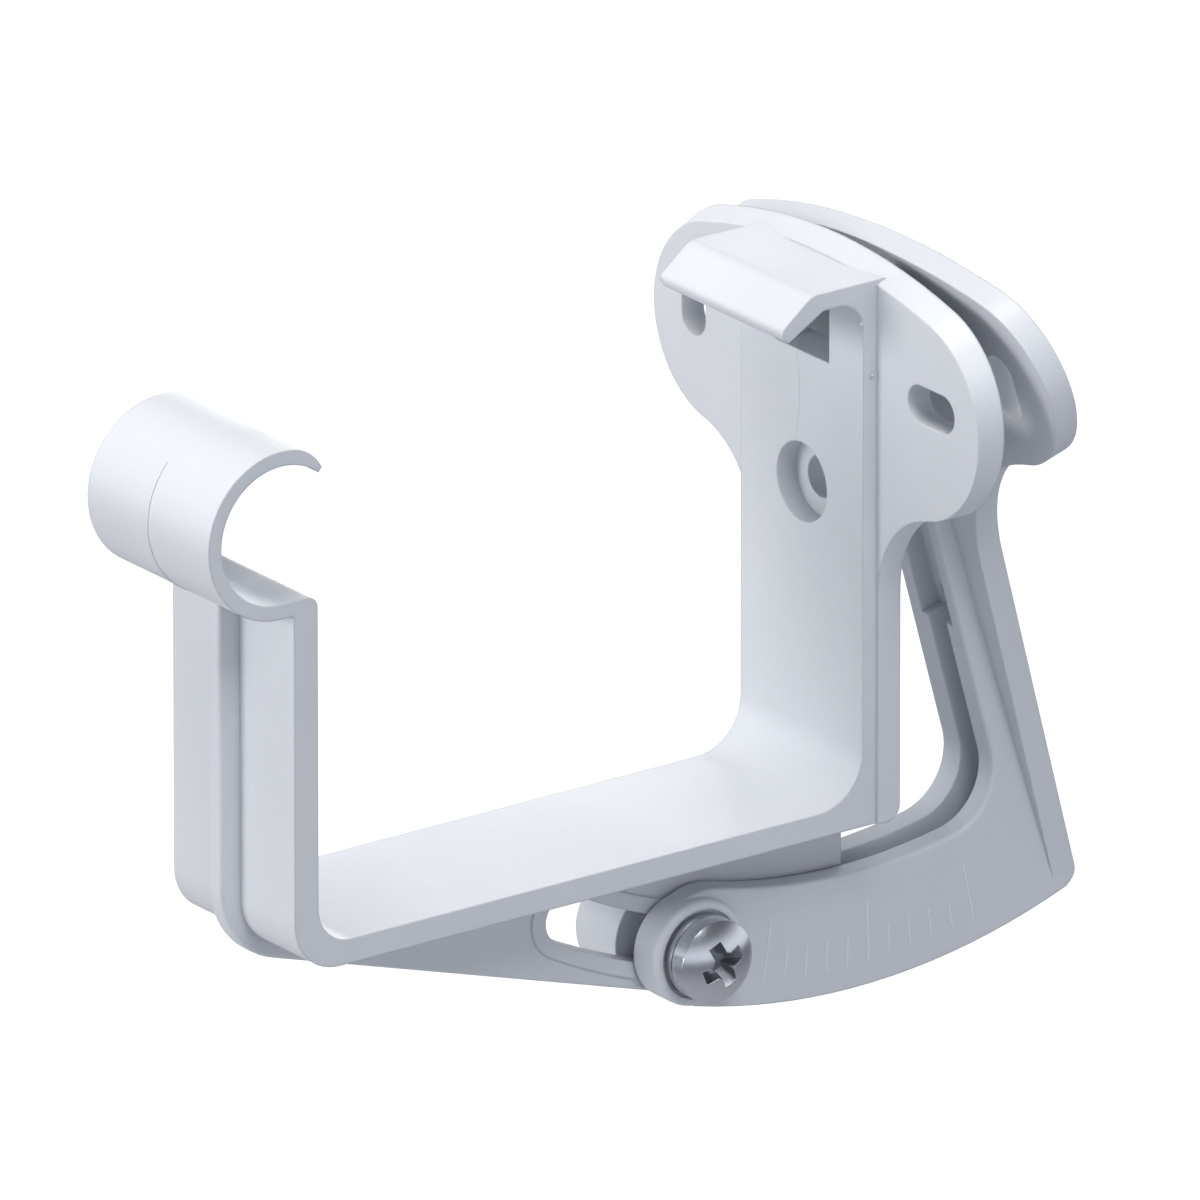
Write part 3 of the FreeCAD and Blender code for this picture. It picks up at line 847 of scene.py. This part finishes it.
@dataclass
class MouldMarks:
    """Fine marks that the mould leaves on the hook."""

    workshop: Workshop
    scroll_radius: float = 12.15 * MM
    seam_start: float = 136.0
    seam_end: float = 258.0
    seam_half_width: float = 0.11 * MM
    seam_proud: float = 0.07 * MM
    flow_side: float = -1.35 * MM
    flow_swing: float = 0.8 * MM
    wall_in_front: float = 4.9 * MM
    flow_low: float = 2.2 * MM
    flow_high: float = 15.9 * MM
    flow_half_width: float = 0.10 * MM
    flow_proud: float = 0.04 * MM
    seam_sunk: float = 0.05 * MM
    seam_steps: int = 90
    flow_sunk: float = 0.02 * MM
    flow_steps: int = 24
    flow_ends: tuple[float, float] = (0.04, 0.96)
    flow_fade: float = 0.3
    nib_radius: float = 0.28 * MM
    nib_stretch: tuple[float, float, float] = (0.7, 1.0, 1.3)
    nib_offsets: tuple[tuple[float, float, float], ...] = (
        (14.0, -5.2, -4.3), (14.2, -3.55, -12.1))
    root_offset: tuple[float, float, float] = (0.0, -99.33 * MM, -75.96 * MM)
    root_size: tuple[float, float, float] = (2.76 * MM, 2.0 * MM, 1.4 * MM)

    def ridge(self, shape: bmesh.types.BMesh, half_width: float, proud: float, sunk: float) -> list:
        """Start a ridge with the triangle of its section, crest towards +Z.

        Args:
            shape: the bmesh that takes it.
            half_width: half of its width along X.
            proud: its height.
            sunk: how far its foot lies below the surface.
        Returns:
            The vertices of the section.
        """
        corners = [(-half_width, -sunk), (0.0, proud), (half_width, -sunk)]
        verts = [shape.verts.new(Vector((x, 0.0, z))) for x, z in corners]
        shape.faces.new(verts)
        return verts

    def scroll_seam(self) -> None:
        """Parting line round the outside of the scroll, in the middle of its width."""
        centre = mount_place("bead_scroll")
        shape = bmesh.new()
        verts = self.ridge(shape, self.seam_half_width, self.seam_proud, self.seam_sunk)
        bmesh.ops.translate(shape, verts=verts, vec=(0.0, centre.y, centre.z + self.scroll_radius))
        turn = Matrix.Rotation(radians(self.seam_start - 90.0), 3, "X")
        bmesh.ops.rotate(shape, verts=verts, cent=(0.0, centre.y, centre.z), matrix=turn)
        whole = list(shape.verts) + list(shape.edges) + list(shape.faces)
        bmesh.ops.spin(shape, geom=whole, cent=(0.0, centre.y, centre.z), axis=(1.0, 0.0, 0.0),
                       angle=radians(self.seam_end - self.seam_start), steps=self.seam_steps,
                       use_merge=False, use_duplicate=False)
        merge_and_turn_out(shape)
        self.workshop.piece("scroll_parting_line", shape, Body.HOOK, Slot.HOOK)

    def flow_line(self) -> None:
        """Hairline between the window and the screw hole, where two flows of plastic met."""
        face = joint_place("tilt").y - self.wall_in_front
        shape = bmesh.new()
        rings = []
        first, last = self.flow_ends
        for i in range(self.flow_steps + 1):
            share = i / self.flow_steps
            fade = sin(pi * min(max(share, first), last)) ** self.flow_fade
            drift = self.flow_side + self.flow_swing * sin(pi * share)
            height = self.flow_low + (self.flow_high - self.flow_low) * share
            half = self.flow_half_width * fade
            corners = [(-half, self.flow_sunk), (0.0, -self.flow_proud * fade),
                       (half, self.flow_sunk)]
            rings.append([shape.verts.new(Vector((drift + x, face + y, height)))
                          for x, y in corners])
        for lower, upper in zip(rings, rings[1:]):
            for a, b in ((0, 1), (1, 2), (2, 0)):
                shape.faces.new((lower[a], lower[b], upper[b], upper[a]))
        shape.faces.new(rings[0])
        shape.faces.new(list(reversed(rings[-1])))
        merge_and_turn_out(shape)
        self.workshop.piece("flow_line", shape, Body.HOOK, Slot.HOOK,
                            finish=self.workshop.flow_mark)

    def nibs(self) -> None:
        """Little bumps left by the mould's vents along the near edge of the back wall."""
        pivot = joint_place("tilt")
        shape = bmesh.new()
        for offset in self.nib_offsets:
            made = bmesh.ops.create_uvsphere(shape, u_segments=12, v_segments=8,
                                             radius=self.nib_radius)
            bmesh.ops.scale(shape, verts=made["verts"], vec=self.nib_stretch)
            bmesh.ops.translate(shape, verts=made["verts"], vec=pivot + Vector(offset) * MM)
        merge_and_turn_out(shape)
        self.workshop.piece("vent_nibs", shape, Body.HOOK, Slot.HOOK)

    def rib_root(self) -> None:
        """Plastic that closes the corner between the rib, the web and the front bend."""
        shape = bmesh.new()
        bmesh.ops.create_cube(shape, size=1.0)
        bmesh.ops.scale(shape, verts=shape.verts, vec=self.root_size)
        bmesh.ops.translate(shape, verts=shape.verts,
                            vec=joint_place("tilt") + Vector(self.root_offset))
        merge_and_turn_out(shape)
        self.workshop.piece("rib_root", shape, Body.HOOK, Slot.HOOK)

    def build(self) -> None:
        """Make all the marks."""
        self.rib_root()
        self.scroll_seam()
        self.flow_line()
        self.nibs()


@dataclass
class Studio:
    """Camera, floor and soft lights."""

    azimuth: float = 53.51
    elevation: float = 20.64
    distance: float = 5.4002
    focal_pixels: float = 39461.21
    picture_pixels: float = 1200.0
    sensor: float = 36.0
    aim_right: float = 3.57 * MM
    aim_up: float = 2.64 * MM
    aim: Vector = field(default_factory=lambda: Vector((0.0, -0.06052048, -0.01524328)))
    floor_drop: float = 1.2
    floor_size: float = 8.0
    floor_tone: tuple[float, float, float] = (0.60, 0.61, 0.64)
    backdrop: float = 1.0
    lamp_aim: Vector = field(default_factory=lambda: Vector((0.0, -0.05, 0.0)))
    sky_heights: tuple[float, float] = (0.05, 0.45)
    sky_strengths: tuple[float, float] = (0.97, 0.14)
    under_heights: tuple[float, float] = (-0.2, -0.1)
    under_strengths: tuple[float, float] = (0.15, 0.0)

    def directions(self) -> tuple[Vector, Vector, Vector]:
        """Right, up and back vectors of the camera.

        Returns:
            Three unit vectors.
        """
        a, e = radians(self.azimuth), radians(self.elevation)
        back = Vector((sin(a) * cos(e), -cos(a) * cos(e), sin(e)))
        right = Vector((cos(a), sin(a), 0.0))
        return right, back.cross(right), back

    def place_camera(self) -> None:
        """Put the camera where the photograph was taken from."""
        right, up, back = self.directions()
        data = bpy.data.cameras.new("photo_camera")
        data.lens = self.focal_pixels / self.picture_pixels * self.sensor
        data.sensor_width = self.sensor
        data.sensor_fit = "HORIZONTAL"
        data.clip_end = 50.0
        data.dof.use_dof = False
        camera = bpy.data.objects.new("photo_camera", data)
        bpy.context.scene.collection.objects.link(camera)
        eye = self.aim + right * self.aim_right + up * self.aim_up + back * self.distance
        turn = Matrix((right, up, back)).transposed().to_4x4()
        camera.matrix_world = Matrix.Translation(eye) @ turn
        bpy.context.scene.camera = camera

    def lay_floor(self) -> None:
        """Lay a plain pale floor far below, white to the camera and clear from below."""
        shape = bmesh.new()
        bmesh.ops.create_grid(shape, x_segments=1, y_segments=1, size=self.floor_size)
        low = CAD_BOX[0][2] - self.floor_drop
        bmesh.ops.translate(shape, verts=shape.verts, vec=(0.0, 0.0, low))
        mesh = bpy.data.meshes.new("floor")
        shape.to_mesh(mesh)
        shape.free()
        material = bpy.data.materials.new("floor_white")
        material.use_nodes = True
        shader = material.node_tree.nodes["Principled BSDF"]
        shader.inputs["Base Color"].default_value = (*self.floor_tone, 1.0)
        shader.inputs["Roughness"].default_value = 0.9
        shader.inputs["Emission Color"].default_value = (1.0, 1.0, 1.0, 1.0)
        tree = ShaderTree(material.node_tree)
        seen = tree.add("ShaderNodeLightPath").outputs["Is Camera Ray"]
        tree.join(tree.maths("MULTIPLY", seen, self.backdrop), shader.inputs["Emission Strength"])
        from_below = tree.add("ShaderNodeNewGeometry").outputs["Backfacing"]
        tree.join(tree.ramp(from_below, 0.0, 1.0, 1.0, 0.0), shader.inputs["Alpha"])
        mesh.materials.append(material)
        floor = bpy.data.objects.new("floor", mesh)
        bpy.context.scene.collection.objects.link(floor)

    def lamp(self, name: str, place: Vector, size: float, power: float, colour: Colour) -> None:
        """Hang a square area light that looks at the bracket.

        Args:
            name: the light's name.
            place: where it hangs.
            size: the side of the square, in metres.
            power: its power in watts.
            colour: its colour.
        """
        data = bpy.data.lights.new(name, "AREA")
        data.shape = "SQUARE"
        data.size = size
        data.energy = power
        data.color = colour
        light = bpy.data.objects.new(name, data)
        bpy.context.scene.collection.objects.link(light)
        look = self.lamp_aim - place
        turn = look.to_track_quat("-Z", "Y").to_matrix().to_4x4()
        light.matrix_world = Matrix.Translation(place) @ turn

    def light_up(self) -> None:
        """Set the world and the lamps."""
        world = bpy.data.worlds.new("studio")
        world.use_nodes = True
        background = world.node_tree.nodes["Background"]
        background.inputs["Color"].default_value = (0.88, 0.91, 1.0, 1.0)
        tree = ShaderTree(world.node_tree)
        apart = tree.add("ShaderNodeSeparateXYZ")
        tree.join(tree.add("ShaderNodeTexCoord").outputs["Generated"], apart.inputs[0])
        sky = tree.ramp(apart.outputs["Z"], *self.sky_heights, *self.sky_strengths)
        under = tree.ramp(apart.outputs["Z"], *self.under_heights, *self.under_strengths)
        tree.join(tree.maths("ADD", sky, under), background.inputs["Strength"])
        bpy.context.scene.world = world
        self.lamp("key_light", Vector((-0.1, -0.22, 1.95)), 1.1, 24.0, (1.0, 0.985, 0.955))
        self.lamp("front_light", Vector((-0.5, -2.2, 0.35)), 1.0, 21.0, (1.0, 0.985, 0.965))
        self.lamp("back_light", Vector((-1.5, 2.0, 0.5)), 1.5, 12.0, (0.98, 0.99, 1.0))
        self.lamp("side_light", Vector((1.7, -0.45, 2.0)), 1.0, 21.0, (0.93, 0.955, 1.0))
        bpy.context.scene.view_settings.view_transform = "Standard"

    def build(self) -> None:
        """Set up the whole studio."""
        self.place_camera()
        self.lay_floor()
        self.light_up()


def main() -> None:
    """Build the studio, dress the nodes and add the detailed pieces."""
    logging.basicConfig(level=logging.INFO)
    Studio().build()
    workshop = Workshop()
    workshop.dress_node("gutter_hook", Slot.HOOK)
    workshop.dress_node("rear_plate", Slot.PLATE)
    workshop.dress_node("clamp_washer", Slot.WASHER)
    ClampScrew(workshop).build()
    ClampNut(workshop).build()
    TiltScale(workshop).build()
    MouldMarks(workshop).build()


if __name__ == "__main__":
    main()
